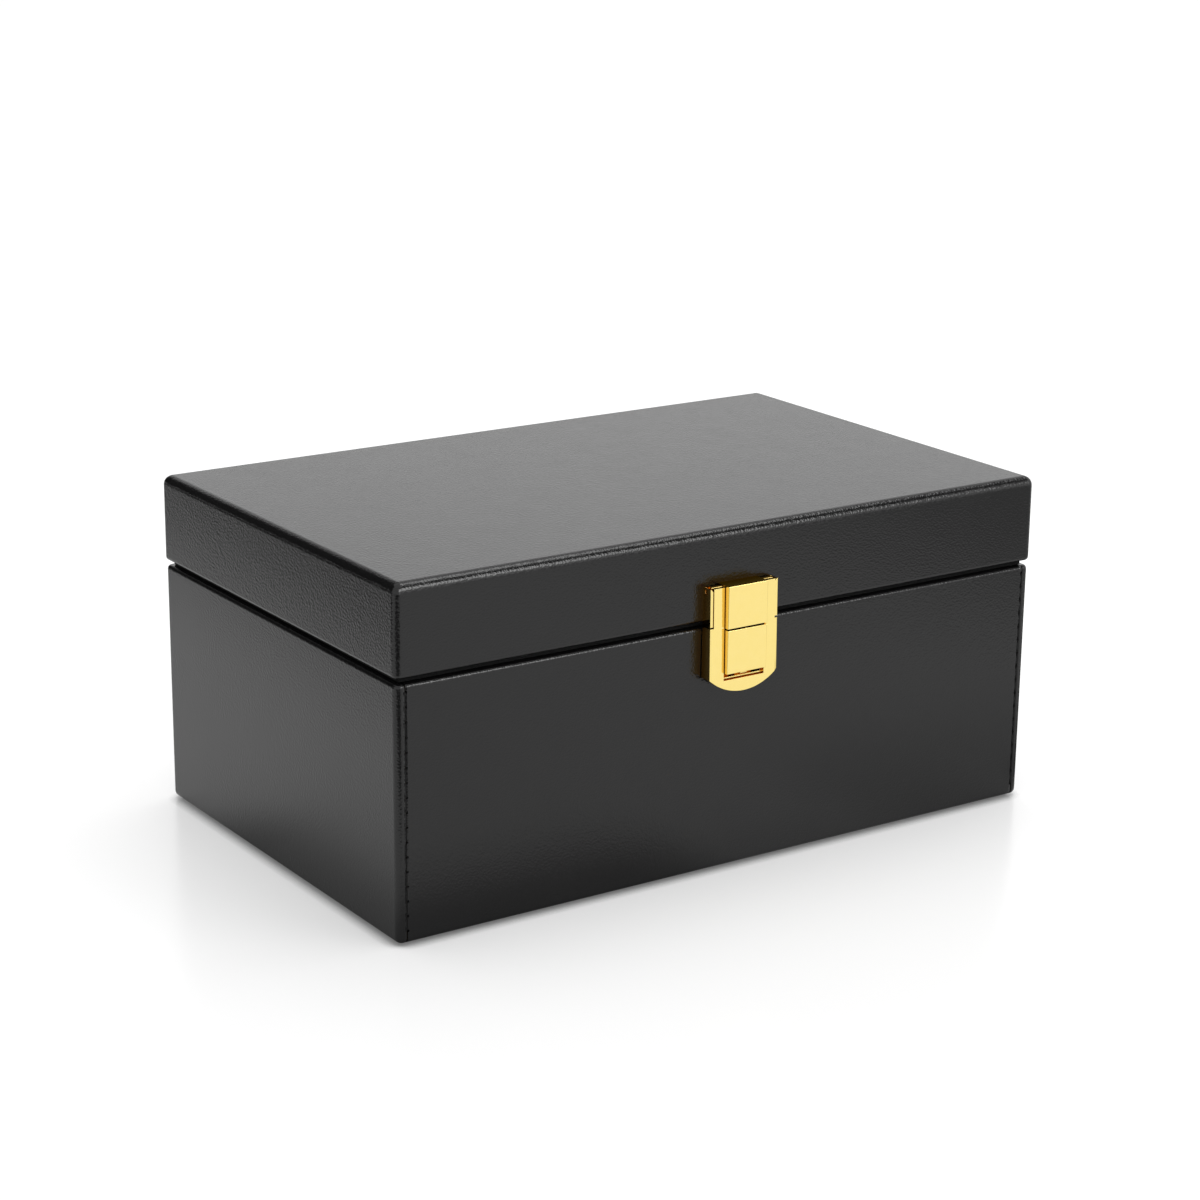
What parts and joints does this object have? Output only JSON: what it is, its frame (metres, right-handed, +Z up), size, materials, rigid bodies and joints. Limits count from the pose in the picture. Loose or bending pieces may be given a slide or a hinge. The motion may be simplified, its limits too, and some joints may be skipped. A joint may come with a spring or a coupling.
{
  "type": "faraday box",
  "caption": "Rectangular wrapped box with a shielded interior, a back-hinged lid and a front hasp latch.",
  "frame": {"origin": "on the floor under the middle of the base", "axes": "+X along the front to the right, +Y to the hinged back, +Z up; the latch faces -Y"},
  "size_m": [0.2406, 0.1606, 0.1108],
  "materials": {
    "black_leatherette": "satin fine-grained leatherette",
    "fibreboard": "raw fibreboard",
    "collar_card": "matt black paper over board",
    "shield_fabric": "woven metallised cloth",
    "pad_fabric": "short-pile cloth over foam",
    "gasket_foam": "matt conductive foam",
    "underside_felt": "flat felt",
    "latch_gold": "polished gold-coloured plating",
    "hinge_brass": "bright brass plating",
    "screw_brass": "bright brass plating"
  },
  "bodies": {
    "base": {"base_bottom_panel": "fibreboard", "base_front_wall": "fibreboard", "base_back_wall": "fibreboard", "base_left_wall": "fibreboard", "base_right_wall": "fibreboard", "base_front_wrap": "black_leatherette", "base_side_wrap": "black_leatherette", "underside_sheet": "underside_felt", "collar_front": "collar_card", "collar_back": "collar_card", "collar_left": "collar_card", "collar_right": "collar_card", "base_lining": "shield_fabric", "floor_pad": "pad_fabric", "rim_gasket": "gasket_foam", "latch_keeper": "latch_gold", "keeper_screws": "screw_brass", "left_hinge_base_leaf": "hinge_brass", "right_hinge_base_leaf": "hinge_brass", "left_hinge_pin": "hinge_brass", "right_hinge_pin": "hinge_brass", "base_hinge_screws": "screw_brass"},
    "lid": {"lid_top_panel": "fibreboard", "lid_front_wall": "fibreboard", "lid_back_wall": "fibreboard", "lid_left_wall": "fibreboard", "lid_right_wall": "fibreboard", "lid_wrap": "black_leatherette", "lid_lining": "shield_fabric", "ceiling_pad": "pad_fabric", "latch_lid_casting": "latch_gold", "latch_pin": "latch_gold", "lid_latch_screws": "screw_brass", "left_hinge_lid_leaf": "hinge_brass", "right_hinge_lid_leaf": "hinge_brass", "lid_hinge_screws": "screw_brass"},
    "hasp": {"latch_hasp": "latch_gold"}
  },
  "joints": [
    {"name": "lid_hinge", "type": "hinge", "parent": "base", "child": "lid", "pos_m": [0, 0.0774, 0.08155], "axis": [-1, 0, 0], "range_deg": [0, 95]},
    {"name": "hasp_hinge", "type": "hinge", "parent": "lid", "child": "hasp", "pos_m": [0, -0.0772, 0.0925], "axis": [-1, 0, 0], "range_deg": [0, 100]}
  ]
}
